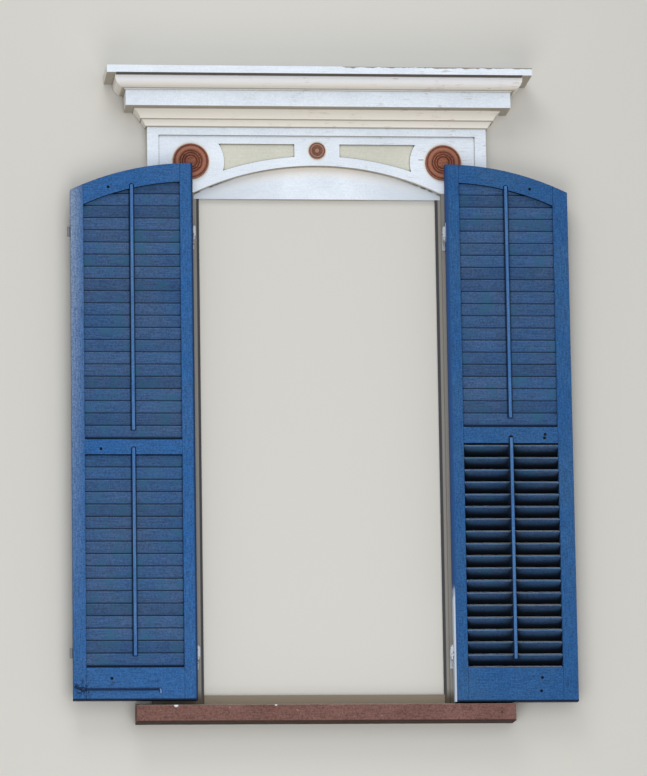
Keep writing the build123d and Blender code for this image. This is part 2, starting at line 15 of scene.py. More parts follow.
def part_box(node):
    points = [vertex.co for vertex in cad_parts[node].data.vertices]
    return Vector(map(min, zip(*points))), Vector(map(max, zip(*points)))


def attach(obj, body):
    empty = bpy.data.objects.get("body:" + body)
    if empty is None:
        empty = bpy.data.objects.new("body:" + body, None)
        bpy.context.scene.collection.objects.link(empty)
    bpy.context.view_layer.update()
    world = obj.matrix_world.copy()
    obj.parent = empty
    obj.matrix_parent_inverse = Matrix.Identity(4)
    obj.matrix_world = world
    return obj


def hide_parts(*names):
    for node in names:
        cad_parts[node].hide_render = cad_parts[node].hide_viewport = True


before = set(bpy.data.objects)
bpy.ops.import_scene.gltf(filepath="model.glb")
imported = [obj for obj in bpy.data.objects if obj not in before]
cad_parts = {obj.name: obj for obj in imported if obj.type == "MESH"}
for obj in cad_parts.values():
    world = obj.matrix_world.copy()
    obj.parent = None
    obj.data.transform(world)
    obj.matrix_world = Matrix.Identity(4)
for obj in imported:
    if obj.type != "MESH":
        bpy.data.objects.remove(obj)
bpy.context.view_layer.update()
MM = 0.001

# %% [markdown]
# ## The view
#
# The photograph was taken from the ground with a long lens, a little from the left: it looks up
# at the hood and under the blinds. The camera's place and angles were fitted to the corners of
# the hood, the blinds and the sill, and to the undersides that show. The lens follows from the
# focal length in pixels, because the sensor's width spans the picture's long side. The three
# turns are made one after another: tilt up, roll, then turn aside.

# %% Camera
picture_height = 776
focal_length = 5000
sensor_width = 36.0
eye = Vector((-1.5565, -15.1479, -1.5962))
turn_aside = -0.1032
tilt_up = 0.1696
roll = -0.0152

camera_data = bpy.data.cameras.new("camera")
camera_data.sensor_width = sensor_width
camera_data.lens = focal_length * sensor_width / picture_height
camera = bpy.data.objects.new("camera", camera_data)
bpy.context.collection.objects.link(camera)
camera.matrix_world = (
    Matrix.Translation(eye)
    @ Matrix.Rotation(turn_aside, 4, "Z")
    @ Matrix.Rotation(pi / 2 + tilt_up, 4, "X")
    @ Matrix.Rotation(roll, 4, "Z")
)
bpy.context.scene.camera = camera
bpy.context.scene.view_settings.view_transform = "Standard"
print("lens in mm:", round(camera_data.lens, 2))

# %% [markdown]
# ## Two helpers
#
# Colours are written as the sRGB hex values that a paint chart gives. A shader works in linear
# light, so one function turns the first into the second. A second one adds a node, sets what it
# is given, and links an input wherever it is given a socket or another node instead of a value.


# %% Colours and nodes
def colour(hex_value):
    """A linear RGBA colour from an sRGB hex value such as #2c5c9a."""
    shares = [int(hex_value[i : i + 2], 16) / 255 for i in (1, 3, 5)]
    linear = [c / 12.92 if c <= 0.04045 else ((c + 0.055) / 1.055) ** 2.4 for c in shares]
    return (*linear, 1.0)


def add_node(tree, kind, inputs=None, **settings):
    """Adds a shader node with its settings, and sets or links its inputs by name or number."""
    made = tree.nodes.new("ShaderNode" + kind)
    for name, value in settings.items():
        setattr(made, name, value)
    for name, value in (inputs or {}).items():
        if isinstance(value, bpy.types.Node):
            value = value.outputs[0]
        if isinstance(value, bpy.types.NodeSocket):
            tree.links.new(value, made.inputs[name])
        else:
            made.inputs[name].default_value = value
    return made


print("mid grey in linear light:", round(colour("#808080")[0], 3))

# %% [markdown]
# ## The stage
#
# The surround is nailed flat on a wall, and the dark gaps between open louvres are the shade in
# front of that wall. So a plain pale wall stands just behind. It is there only for eyes in front
# of it: a view from behind passes through it, and then the light does too, which the count of
# transparent surfaces on a ray's path tells. The surround hangs a storey up, so the floor lies
# well below it, and below the eye.

# %% Wall and floor
floor_height = -3.2
wall_gap = 2 * MM
stage_width = 20.0
wall_height = 7.5


def plain_material(name, hex_value):
    """A matt stage material, and its tree and shader."""
    material = bpy.data.materials.new(name)
    material.use_nodes = True
    shader = material.node_tree.nodes["Principled BSDF"]
    shader.inputs["Base Color"].default_value = colour(hex_value)
    shader.inputs["Roughness"].default_value = 0.9
    shader.inputs["Specular IOR Level"].default_value = 0.1
    return material, material.node_tree, shader


bpy.ops.object.select_all(action="DESELECT")
bpy.ops.mesh.primitive_plane_add(size=stage_width, location=(0, 0, floor_height))
floor = bpy.context.object
floor.name = "floor"
floor.data.materials.append(plain_material("pale matt floor", "#d0cdc6")[0])

wall_middle = (0, wall_gap, floor_height + wall_height / 2)
bpy.ops.mesh.primitive_plane_add(size=1, location=wall_middle, rotation=(pi / 2, 0, 0))
wall = bpy.context.object
wall.name = "wall"
wall.scale = (stage_width, wall_height, 1)
wall_material, tree, shader = plain_material("pale matt wall", "#d3d1cb")
from_behind = add_node(tree, "NewGeometry").outputs["Backfacing"]
passed = add_node(tree, "LightPath").outputs["Transparent Depth"]
see_through = add_node(tree, "Math", {0: from_behind, 1: passed}, operation="MAXIMUM")
clear = add_node(tree, "BsdfTransparent")
either = add_node(tree, "MixShader", {0: see_through, 1: shader, 2: clear})
tree.links.new(either.outputs[0], tree.nodes["Material Output"].inputs["Surface"])
wall.data.materials.append(wall_material)
print("stage:", floor.name, wall.name)

# %% [markdown]
# ## The light
#
# The picture shows even daylight with soft shade under the hood. An even sky gives most of it.
# A large soft lamp high in front adds the light from above, so that mouldings still read, and a
# wide one straight in front fills the boards. A low one stands for the light that the ground
# throws up under the hood. The sky looks pale to the camera, and to gloss, at its own strength.

# %% Sky and lamps
sky_light = 0.5
sky_look = 0.8
scene_middle = Vector((0, 0, 1.0))

world = bpy.data.worlds.new("sky")
bpy.context.scene.world = world
world.use_nodes = True
tree = world.node_tree
even_sky = tree.nodes["Background"]
even_sky.inputs["Strength"].default_value = sky_light
even_sky.inputs["Color"].default_value = colour("#fbfdff")
pale_sky = add_node(tree, "Background", {"Color": colour("#e9eaec"), "Strength": sky_look})
seen = add_node(tree, "LightPath").outputs
direct = add_node(
    tree, "Math", {0: seen["Is Camera Ray"], 1: seen["Is Glossy Ray"]}, operation="MAXIMUM"
)
looked_at = add_node(
    tree, "Math", {0: direct, 1: seen["Is Transmission Ray"]}, operation="MAXIMUM"
)
either_sky = add_node(tree, "MixShader", {0: looked_at, 1: even_sky, 2: pale_sky})
tree.links.new(either_sky.outputs[0], tree.nodes["World Output"].inputs["Surface"])


def soft_lamp(name, place, size, power):
    """A square soft lamp that faces the middle of the object."""
    data = bpy.data.lights.new(name, "AREA")
    data.size = size
    data.energy = power
    lamp = bpy.data.objects.new(name, data)
    bpy.context.collection.objects.link(lamp)
    lamp.location = place
    lamp.rotation_euler = (scene_middle - Vector(place)).to_track_quat("-Z", "Y").to_euler()


soft_lamp("high_lamp", (-1.0, -3.4, 5.0), 2.5, 70)
soft_lamp("front_lamp", (0.6, -5.0, 1.4), 3.0, 45)
soft_lamp("low_lamp", (-0.4, -3.6, -1.2), 2.5, 62)

# %% [markdown]
# ## Coats, and where they lie
#
# Age shows on paint as thin coats over it: dirt, chalk, soot, rust. Other coats here are painted
# shade and painted highlights. Each coat is a colour and a mask, which says where it shows, from
# 0 to 1. Coats are laid in order, as a Mix node each, and a finished material can be given more
# of them. A mask is made from one simple question: how far along an axis a point lies, which way
# its face looks, how near it is to a place, or what a noise says there. Where several have to
# hold at once, the masks are multiplied.

# %% Lay coats over a paint
MIX_A, MIX_B, MIX_OUT = 6, 7, 2  # a Mix node's sockets, when it mixes colours


def lay_coats(tree, paint, coats):
    """Lays coats over a paint, each a mask with a hex value, or with a colour made by nodes."""
    for mask, coat in coats:
        over = colour(coat) if isinstance(coat, str) else coat
        laid = add_node(tree, "Mix", {0: mask, MIX_A: paint, MIX_B: over}, data_type="RGBA")
        paint = laid.outputs[MIX_OUT]
    return paint


def recoat(tree, coats):
    """Lays coats over what colours a finished material."""
    base = tree.nodes["Principled BSDF"].inputs["Base Color"]
    tree.links.new(lay_coats(tree, base.links[0].from_socket, coats), base)


def where_all(tree, mask, *others):
    """The places where every mask given holds."""
    for other in others:
        mask = add_node(tree, "Math", {0: mask, 1: other}, operation="MULTIPLY")
    return mask


print("a coat is mixed over sockets", MIX_A, "and", MIX_B)


# %% Masks by place
def within(tree, coords, axis, start, end):
    """A mask that rises from 0 at start to 1 at end along an axis, in metres."""
    split = add_node(tree, "SeparateXYZ", {"Vector": coords.outputs["Object"]})
    rise = {"Value": split.outputs[axis], "From Min": start, "From Max": end}
    return add_node(tree, "MapRange", rise)


def facing(tree, coords, axis, start, end):
    """A mask that rises from 0 at start to 1 at end along an axis of the normal."""
    split = add_node(tree, "SeparateXYZ", {"Vector": coords.outputs["Normal"]})
    rise = {"Value": split.outputs[axis], "From Min": start, "From Max": end}
    return add_node(tree, "MapRange", rise)


def aside(tree, coords, middle, start, end):
    """A mask that rises from 0 at start to 1 at end with the distance from a middle along X."""
    split = add_node(tree, "SeparateXYZ", {"Vector": coords.outputs["Object"]})
    offset = add_node(tree, "Math", {0: split.outputs["X"], 1: middle}, operation="SUBTRACT")
    distance = add_node(tree, "Math", {0: offset}, operation="ABSOLUTE")
    return add_node(tree, "MapRange", {"Value": distance, "From Min": start, "From Max": end})


def round_point(tree, coords, centre, start, end, most=1.0):
    """A mask that rises from 0 at start to most at end with the distance from a point."""
    spot = {0: coords.outputs["Object"], 1: centre}
    distance = add_node(tree, "VectorMath", spot, operation="DISTANCE").outputs["Value"]
    rise = {"Value": distance, "From Min": start, "From Max": end, "To Max": most}
    return add_node(tree, "MapRange", rise)


print("masks by place: along an axis, by a face's turn, aside of a middle, round a point")


# %% Masks by chance, and by corners
def in_patches(tree, coords, size, detail, start, end, least=0.0):
    """A mask of patches of one size: it rises where a noise goes from start to end."""
    spread = {"Vector": coords.outputs["Object"], "Scale": 1 / size, "Detail": detail}
    noise = add_node(tree, "TexNoise", spread)
    rise = {"Value": noise, "From Min": start, "From Max": end, "To Min": least}
    return add_node(tree, "MapRange", rise)


def crooked_lines(tree, vector, size, wide, fine, most=1.0, distortion=0.0):
    """A mask of thin crooked lines: the places where a noise passes through its middle value."""
    spread = {"Vector": vector, "Scale": 1 / size, "Detail": 2.0, "Distortion": distortion}
    noise = add_node(tree, "TexNoise", spread)
    offset = add_node(tree, "Math", {0: noise, 1: 0.5}, operation="SUBTRACT")
    away = add_node(tree, "Math", {0: offset}, operation="ABSOLUTE")
    rise = {"Value": away, "From Min": wide, "From Max": fine, "To Max": most}
    return add_node(tree, "MapRange", rise)


def shade_and_soot_in_corners(tree, reach, low, high):
    """A mask of the corners and seams that ambient occlusion finds, for painted shade and grime.
    """
    corners = add_node(tree, "AmbientOcclusion", {"Distance": reach}, samples=8)
    rise = {"Value": corners.outputs["AO"], "From Min": high, "From Max": low}
    return add_node(tree, "MapRange", rise)


print("masks by chance: patches, crooked lines; by corners: soot")

# %% [markdown]
# ## Old oil paint
#
# Everything here is softwood under oil paint that has stood in the weather for years. Such paint
# fades in broad patches, keeps the marks of the brush along each board, and turns chalky in
# specks. All three come from noise on object coordinates, so that they stay put on a blind when
# it swings. The marks are stretched along the board by a Mapping node. Real brush marks are half
# a millimetre apart. Here they are drawn at 2 mm, as coarse as they need to be to show.

# %% The coat that every painted piece starts from
patch_size = 140 * MM
brush_mark = 2 * MM
chalk_speck = 5 * MM
paint_relief = 0.25 * MM
paint_gloss = 0.12
UPRIGHT = (1.0, 1.0, 0.04)
LEVEL = (0.04, 1.0, 1.0)


def start_material(name):
    """A new material, with its tree and its coordinates."""
    material = bpy.data.materials.new(name)
    material.use_nodes = True
    return material, material.node_tree, add_node(material.node_tree, "TexCoord")


def old_paint(tree, coords, fresh, faded, grain, speckle=0.1):
    """Faded patches, brush marks along the grain and chalky specks: a colour and a height."""
    place = coords.outputs["Object"]
    worn = in_patches(tree, coords, patch_size, 4.0, 0.35, 0.65)
    coat = lay_coats(tree, colour(fresh), [(worn, faded)])
    grained = add_node(tree, "Mapping", {"Vector": place, "Scale": grain})
    brushed = {"Vector": grained, "Scale": 1 / brush_mark, "Detail": 2.0}
    chalked = {"Vector": place, "Scale": 1 / chalk_speck, "Detail": 1.0}
    marks = add_node(tree, "TexNoise", brushed)
    specks = add_node(tree, "TexNoise", chalked)
    height = add_node(tree, "Math", {0: marks, 1: specks}, operation="ADD")
    rise = {"Value": height, "From Min": 0.75, "From Max": 1.25}
    lightness = add_node(
        tree, "MapRange", {**rise, "To Min": 1 - speckle, "To Max": 1 + speckle}
    )
    painted = add_node(tree, "HueSaturation", {"Color": coat, "Value": lightness})
    return painted, height


def dry_finish(tree, paint, height, roughness):
    """Wires a colour and a height to the shader, as weathered paint with little gloss left."""
    relief = add_node(tree, "Bump", {"Height": height, "Distance": paint_relief, "Strength": 0.6})
    shader = tree.nodes["Principled BSDF"]
    tree.links.new(paint, shader.inputs["Base Color"])
    tree.links.new(relief.outputs[0], shader.inputs["Normal"])
    shader.inputs["Roughness"].default_value = roughness
    shader.inputs["Specular IOR Level"].default_value = paint_gloss


print("brush marks at", round(brush_mark / MM, 1), "mm, patches at", round(patch_size / MM), "mm")

# %% [markdown]
# ## Blue on the blinds
#
# The frames of the blinds have a satin blue that has gone a little chalky. The upper corner
# of the left blind faces the weather most, and a pale bloom runs down its outer stile. Along
# every arris the paint is darker, and a Bevel node finds the arrises: it rounds the normals near
# an edge, and where they differ from the true normal, an edge is close. Undersides and the foot
# of each blind are painted almost black, and ambient occlusion darkens the corners: painted
# shade. Round the wire fastener, and where ironwork once sat, the paint is scratched in short
# crooked lines.

# %% Oil paint on the blinds' frames
leaf_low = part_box("left_outer_stile")[0]
leaf_face = -84 * MM
arris_reach = 2.2 * MM
edge_strength = 0.75


def along_edges(tree, coords, reach):
    """A mask of the arrises, broken up by noise."""
    rounded = add_node(tree, "Bevel", {"Radius": reach}, samples=4)
    true_normal = add_node(tree, "NewGeometry").outputs["Normal"]
    agreement = add_node(
        tree, "VectorMath", {0: rounded, 1: true_normal}, operation="DOT_PRODUCT"
    ).outputs["Value"]
    near_edge = add_node(
        tree, "MapRange", {"Value": agreement, "From Min": 0.99, "From Max": 0.85}
    )
    return where_all(tree, near_edge, in_patches(tree, coords, 18 * MM, 3.0, 0.3, 0.55))


def frame_paint(name, grain, fresh, faded, foot, bloom=False, scuffs=(), edge=None):
    """Blue oil paint for stiles and rails, with the weathering and painted shade that each of
    them has.
    """
    material, tree, coords = start_material(name)
    paint, height = old_paint(tree, coords, fresh, faded, grain, 0.34)
    coats = []
    if bloom:
        near_edge = within(tree, coords, "X", leaf_low.x + 46 * MM, leaf_low.x - 12 * MM)
        high_up = within(tree, coords, "Z", 0.2, 1.5)
        rise = {"Value": height, "From Min": 0.7, "From Max": 1.3, "To Min": 0.4, "To Max": 1.5}
        powder = add_node(tree, "MapRange", rise)
        coats.append((where_all(tree, near_edge, high_up, powder), "#8c9bb0"))
    if edge:
        # a dark band along the hinge edge
        dark_to, plain_from, hex_value = edge
        coats.append((within(tree, coords, "X", plain_from, dark_to), hex_value))
    # painted shade: undersides and the foot of the blind near black, and the corners darker
    looks_down = facing(tree, coords, "Z", -0.5, -0.9)
    foot_shade = within(tree, coords, "Z", foot + 6.5 * MM, foot + 3 * MM)
    underside_and_edge_faces = add_node(tree, "Math", {0: looks_down, 1: foot_shade}, operation="MAXIMUM")
    coats += [
        (where_all(tree, along_edges(tree, coords, arris_reach), edge_strength), "#1c3a66"),
        (underside_and_edge_faces, "#0b1830"),
        (shade_and_soot_in_corners(tree, 6 * MM, 0.4, 0.88), "#0d1930"),
    ]
    for middle, reach, strength in scuffs:
        scratches = crooked_lines(
            tree, coords.outputs["Object"], 16 * MM, 0.035, 0.012, distortion=0.8
        )
        nearness = round_point(tree, coords, middle, reach, reach * 0.4, strength)
        coats.append((where_all(tree, scratches, nearness), "#10203d"))
    dry_finish(tree, lay_coats(tree, paint, coats), height, 0.6)
    return material


LEFT_BLUE = ("#285a93", "#315c90", leaf_low.z)
RIGHT_BLUE = ("#255489", "#2e5887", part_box("right_outer_stile")[0].z)
hook_scuffs = (
    ((-0.741, leaf_face, 0.070), 38 * MM, 1.0),
    ((-0.738, leaf_face, 0.112), 16 * MM, 0.8),
    ((-0.650, leaf_face, 0.088), 10 * MM, 0.7),
    ((-0.512, leaf_face, 0.093), 10 * MM, 0.7),
)
right_scuffs = (
    ((0.752, leaf_face, 0.078), 26 * MM, 0.5),
    ((0.432, leaf_face, 0.118), 16 * MM, 0.4),
    ((0.425, leaf_face, 0.088), 12 * MM, 0.5),
)
inner_edge = 0.393
# the left blind's band along its hinge edge is painted shade; the right one's is a darker band
left_edge_shade = (-inner_edge - 3 * MM, -inner_edge - 8 * MM, "#182c4e")
right_edge_band = (inner_edge + 5 * MM, inner_edge + 12 * MM, "#23477a")

rail_paint = frame_paint("oil_paint_on_rails", LEVEL, *LEFT_BLUE)
scuffed_paint = frame_paint(
    "scuffed_oil_paint_on_rail", LEVEL, *LEFT_BLUE, scuffs=hook_scuffs
)
bloomed_paint = frame_paint(
    "bloomed_oil_paint_on_stile", UPRIGHT, *LEFT_BLUE, bloom=True, scuffs=hook_scuffs
)
stile_paint = frame_paint(
    "oil_paint_on_hinge_stile", UPRIGHT, *LEFT_BLUE, edge=left_edge_shade
)
right_rail_paint = frame_paint("darker_oil_paint_on_rails", LEVEL, *RIGHT_BLUE)
marked_rail_paint = frame_paint(
    "marked_oil_paint_on_rails", LEVEL, *RIGHT_BLUE, scuffs=right_scuffs
)
marked_stile_paint = frame_paint(
    "marked_oil_paint_on_stiles", UPRIGHT, *RIGHT_BLUE, scuffs=right_scuffs
)
right_hinge_paint = frame_paint(
    "oil_paint_on_right_hinge_stile", UPRIGHT, *RIGHT_BLUE, scuffs=right_scuffs, edge=right_edge_band
)
print("paints for stiles and rails: 8")

# %% [markdown]
# The white of the surround has run onto the right blind's hinge edge, low down, as a thin strip.

# %% White run onto the hinge edge
run_top, run_full = 0.43, 0.30
tree = right_hinge_paint.node_tree
coords = tree.nodes["Texture Coordinate"]
spread = {"Vector": coords.outputs["Object"], "Scale": 1 / (30 * MM), "Detail": 4.0}
ragged = add_node(tree, "TexNoise", spread)
low_down = within(tree, coords, "Z", run_top, run_full)
thinned = add_node(tree, "Math", {0: ragged, 1: low_down}, operation="ADD")
kept = add_node(tree, "MapRange", {"Value": thinned, "From Min": 0.85, "From Max": 1.2})
strip = within(tree, coords, "X", inner_edge + 6.5 * MM, inner_edge + 5 * MM)
recoat(tree, [(where_all(tree, strip, kept), "#b9c4d2")])
print("white strip up to", run_top, "m")

# %% [markdown]
# ## Blue on the louvres
#
# The louvres hold less pigment than the frames: greyer, with a purple cast in places and a green
# one in others. No two are alike, because each was brushed by itself. A slat's number follows
# from its height less a share of its depth, so that slats that overlap keep their own numbers,
# and a white noise of that number shifts the lightness. How far along a slat's width a point
# lies follows from its depth and height, turned by the slat's tilt. The front edge, which
# catches rain, is chalked and painted paler as a painted highlight, and where shut slats
# overlap, a dark seam of painted shade shows. Where open slats shade one another, ambient
# occlusion over 60 mm finds the places and paints them near black, as painted shade. Painted
# shade also lines each slat beside its rod, and lies where slats meet the frame. In the upper
# banks the rod is one piece with its slats: it is what stands furthest out.

# %% Oil paint on the louvres
louvre_pitch = 38.1 * MM
slat_reach = 21.6 * MM
leaf_middle = 68 * MM
depth_share = 1.29
rod_front = 75.0 * MM
closed_tilt = 80.0
open_tilt = 45.0
ROD_BLUE = ("#3f6ba2", "#4a74a6")


def rod_coat(tree, coords, rod_x):
    """The palest blue, with painted shade along both arrises of a rod: a colour and a height."""
    paint, height = old_paint(tree, coords, *ROD_BLUE, UPRIGHT, 0.25)
    # painted shade along both arrises of the rod
    rod_arris_shade = aside(tree, coords, rod_x, 3.4 * MM, 4.9 * MM)
    return lay_coats(tree, paint, [(rod_arris_shade, "#1b3558")]), height


def louvre_paint(name, first_axis, tilt, rod_x, rod_foot, chalk_and_highlight, deep_shade, seam, rod_depth=None):
    """Greyer blue for a bank of louvres, counted up from the height of the lowest one's axis."""
    material, tree, coords = start_material(name)
    paint, height = old_paint(tree, coords, "#30517c", "#3b5478", LEVEL, 0.3)
    greenish = in_patches(tree, coords, 45 * MM, 3.0, 0.52, 0.7)
    tinted = lay_coats(tree, paint, [(greenish, "#2f5878")])

    split = add_node(tree, "SeparateXYZ", {"Vector": coords.outputs["Object"]}).outputs
    above = add_node(tree, "Math", {0: split["Z"], 1: first_axis}, operation="SUBTRACT")
    forward = add_node(tree, "Math", {0: -leaf_middle, 1: split["Y"]}, operation="SUBTRACT")
    slope = add_node(tree, "Math", {0: forward, 1: depth_share}, operation="MULTIPLY")
    level = add_node(tree, "Math", {0: above, 1: slope}, operation="SUBTRACT")
    counted = add_node(tree, "Math", {0: level, 1: louvre_pitch}, operation="DIVIDE")
    number = add_node(tree, "Math", {0: counted}, operation="ROUND")
    chance = add_node(tree, "TexWhiteNoise", {"W": number}, noise_dimensions="1D")
    own_lightness = add_node(tree, "MapRange", {"Value": chance, "To Min": 0.86, "To Max": 1.16})
    shaded = add_node(tree, "HueSaturation", {"Color": tinted, "Value": own_lightness})

    base = add_node(tree, "Math", {0: number, 1: louvre_pitch}, operation="MULTIPLY")
    risen = add_node(tree, "Math", {0: above, 1: base}, operation="SUBTRACT")
    upward = add_node(tree, "Math", {0: risen, 1: sin(radians(tilt))}, operation="MULTIPLY")
    outward = add_node(tree, "Math", {0: forward, 1: cos(radians(tilt))}, operation="MULTIPLY")
    across = add_node(tree, "Math", {0: upward, 1: outward}, operation="ADD")
    rise = {"Value": across, "From Min": -10.5 * MM, "From Max": -14.5 * MM, "To Max": seam}
    overlap_shade = add_node(tree, "MapRange", rise)
    rise = {"Value": across, "From Min": 18.8 * MM, "From Max": 21.2 * MM, "To Max": chalk_and_highlight}
    chalk_and_highlight_edge = add_node(tree, "MapRange", rise)
    rise = {"Value": height, "From Min": 0.75, "From Max": 1.2, "To Min": 0.4}
    rubbed_here = add_node(tree, "MapRange", rise)

    outside = facing(tree, coords, "Y", -0.1, -0.4)
    rod_shade = aside(tree, coords, rod_x, 11 * MM, 6.5 * MM)
    at_rod_height = within(tree, coords, "Z", rod_foot - 3 * MM, rod_foot + 1 * MM)
    # painted shade: near black between open slats, a dark seam where shut ones overlap, corners
    # and a line beside the rod; the pale front edge is chalk and a painted highlight
    coats = [
        (where_all(tree, shade_and_soot_in_corners(tree, 60 * MM, 0.6, 1.0), deep_shade), "#03070d"),
        (where_all(tree, overlap_shade, outside), "#0c182b"),
        (where_all(tree, chalk_and_highlight_edge, rubbed_here), "#86a4bf"),
        (shade_and_soot_in_corners(tree, 9 * MM, 0.3, 0.62), "#0e1c30"),
        (where_all(tree, rod_shade, outside, at_rod_height), "#12233c"),
    ]
    if rod_depth:
        is_rod = within(tree, coords, "Y", -rod_depth, -rod_depth - 0.4 * MM)
        coats.append((is_rod, rod_coat(tree, coords, rod_x)[0]))
    dry_finish(tree, lay_coats(tree, shaded, coats), height, 0.65)
    return material


rod_x = {}
louvre_paints = {}
for side in ("left", "right"):
    rod_low, rod_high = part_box(f"{side}_lower_rod")
    rod_x[side] = (rod_low.x + rod_high.x) / 2
    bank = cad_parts[f"{side}_upper_louvres"]
    upper_foot = min(v.co.z for v in bank.data.vertices if v.co.y < -rod_front - 1 * MM)
    upper_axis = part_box(bank.name)[0].z + slat_reach
    louvre_paints[f"{side}_upper"] = louvre_paint(
        f"louvre_oil_paint_{side}_upper",
        upper_axis, closed_tilt, rod_x[side], upper_foot, 0.15, 0.0, 0.85, rod_front,
    )
    low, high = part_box(f"{side}_louvre_01")
    lower_axis = (low.z + high.z) / 2
    # strengths of the chalked front edge with its painted highlight, of painted shade between
    # open slats, and of the painted shade in the seams
    wear_and_shade = (0.2, 0.0, 0.9) if side == "left" else (0.32, 0.98, 0.0)
    tilt = closed_tilt if side == "left" else open_tilt
    louvre_paints[f"{side}_lower"] = louvre_paint(
        f"louvre_oil_paint_{side}_lower", lower_axis, tilt, rod_x[side], rod_low.z, *wear_and_shade
    )
    print(side, "rod at x", round(rod_x[side] / MM, 1), "mm")

# %% [markdown]
# ## Blue on the tilt rods
#
# The rods stand proud of everything, so they are the palest blue, with painted shade on both
# arrises.
# The two lower ones are pieces of their own, with the coat that the upper banks' rods have.


# %% Oil paint on the rods
def loose_rod_paint(side):
    """The coat of a rod that slides by itself."""
    material, tree, coords = start_material(f"oil_paint_on_{side}_rod")
    paint, height = rod_coat(tree, coords, rod_x[side])
    dry_finish(tree, paint, height, 0.6)
    return material


rod_paints = {side: loose_rod_paint(side) for side in ("left", "right")}
print("rod paints:", len(rod_paints))

# %% [markdown]
# ## White on the surround
#
# Washed by rain, flat white boards look bluish. Faces that look down or aside are painted cream,
# and faces that look straight down are painted grey, as painted shade. Bands of height paint the
# hood's mouldings lighter, as painted light, and the seams between them darker, as painted
# shade, and ambient occlusion paints shade into the corners. Three masks say this: the height of
# a normal finds faces that look down, bands of height find the mouldings, and ambient occlusion
# finds the corners. Where boards have shrunk, the paint has cracked along the grain, in short
# brown lines. The hood's top edge has flaked to grey wood at its right half, and the seam under
# its cap is painted dark, as painted shade. The panel in the arch is painted cream along the
# arch and greyer towards its ends, as painted shade, and its seam with the frieze gapes dark at
# its ends. The filler round each rosette is a warmer white.

# %% Weathered white oil paint
crack_stretch = (0.06, 1.0, 1.0)


def white_paint(
    name, grain, height_bands=(), halos=(), arch=None, cracked=0.0, flaked_edge=None, cap_seam_shade=None
):
    """White oil paint, cream and grey on faces that look down, with bands of painted light and
    shade, and painted shade in its corners.
    """
    material, tree, coords = start_material(name)
    place = coords.outputs["Object"]
    paint, height = old_paint(tree, coords, "#e6eff9", "#dde6f1", grain, 0.06)
    coats = []
    # bands of height: lighter ones are painted light, darker ones painted shade
    for start, end, hex_value in height_bands:
        above = within(tree, coords, "Z", start - 2 * MM, start)
        below = within(tree, coords, "Z", end + 1 * MM, end)
        coats.append((where_all(tree, above, below), hex_value))
    normal = add_node(tree, "SeparateXYZ", {"Vector": coords.outputs["Normal"]}).outputs
    sideways = add_node(tree, "Math", {0: normal["X"]}, operation="ABSOLUTE")
    rise = {"Value": sideways, "From Min": 0.6, "From Max": 0.95, "To Max": 0.8}
    side_faces = add_node(tree, "MapRange", rise)
    looks_down = facing(tree, coords, "Z", -0.25, -0.9)
    underside_and_edge_faces = add_node(tree, "Math", {0: looks_down, 1: side_faces}, operation="MAXIMUM")
    # cream where faces look down or aside, grey where they look straight down, as painted shade
    coats += [(underside_and_edge_faces, "#e0d9cd"), (facing(tree, coords, "Z", -0.93, -0.98), "#aaa396")]
    # the seam under the cap is painted dark, as painted shade
    if cap_seam_shade:
        seam_height, half_width = cap_seam_shade
        reached = within(tree, coords, "Z", seam_height - 2.5 * MM, seam_height - 1 * MM)
        not_past = within(tree, coords, "Z", seam_height + 0.8 * MM, seam_height + 0.3 * MM)
        before_ends = aside(tree, coords, 0.0, half_width, half_width - 2 * MM)
        coats.append((where_all(tree, reached, not_past, before_ends), "#5a544c"))
    if arch:
        centre, radius, depth = arch
        gaping = in_patches(tree, coords, 25 * MM, 2.0, 0.45, 0.55, least=0.25)
        seam = round_point(tree, coords, centre, radius - 7 * MM, radius - 2 * MM)
        at_ends = aside(tree, coords, 0.0, 0.24, 0.33)
        # cream along the arch and greyer towards the ends: painted shade; then the dark gaping
        # seam at the ends
        coats += [
            (round_point(tree, coords, centre, radius - depth, radius), "#ebe2d6"),
            (aside(tree, coords, 0.0, 0.1, 0.37), "#c6cfd9"),
            (where_all(tree, seam, gaping, at_ends), "#2b2420"),
        ]
    for centre, radius in halos:
        filled = round_point(tree, coords, centre, radius + 9 * MM, radius + 5 * MM)
        coats.append((filled, "#e9ece9"))
    if cracked:
        stretched = add_node(tree, "Mapping", {"Vector": place, "Scale": crack_stretch})
        line = crooked_lines(tree, stretched, 7 * MM, 0.03, 0.008, cracked)
        rarely = in_patches(tree, coords, 50 * MM, 3.0, 0.52, 0.62)
        to_right = within(tree, coords, "X", -0.45, 0.25)
        coats.append((where_all(tree, rarely, to_right, line), "#8d6d5a"))
    if flaked_edge:
        edge_base, edge_top, edge_front = flaked_edge
        top_strip = within(tree, coords, "Z", edge_base, edge_top)
        right_half = within(tree, coords, "X", -0.05, 0.1)
        near_front = within(tree, coords, "Y", edge_front + 60 * MM, edge_front + 5 * MM)
        where = where_all(tree, top_strip, right_half, near_front)
        spread = {"Vector": place, "Scale": 1 / (22 * MM), "Detail": 5.0}
        flakes = add_node(tree, "TexNoise", spread)
        dense = add_node(tree, "Math", {0: where, 1: flakes}, operation="ADD")
        bare = add_node(tree, "MapRange", {"Value": dense, "From Min": 1.2, "From Max": 1.28})
        coats.append((bare, "#8f8a84"))
    # painted shade in the corners
    coats.append((shade_and_soot_in_corners(tree, 8 * MM, 0.3, 0.8), "#857f75"))
    dry_finish(tree, lay_coats(tree, paint, coats), height, 0.6)
    return material


print("cracks are stretched", round(1 / crack_stretch[0]), "times along the grain")

# %% [markdown]
# The hood's bands of height are measured up from its foot: the bed moulding, a light cream as
# painted light, with painted shade in its seams, and the crown moulding under the cap, painted
# brighter as painted light.

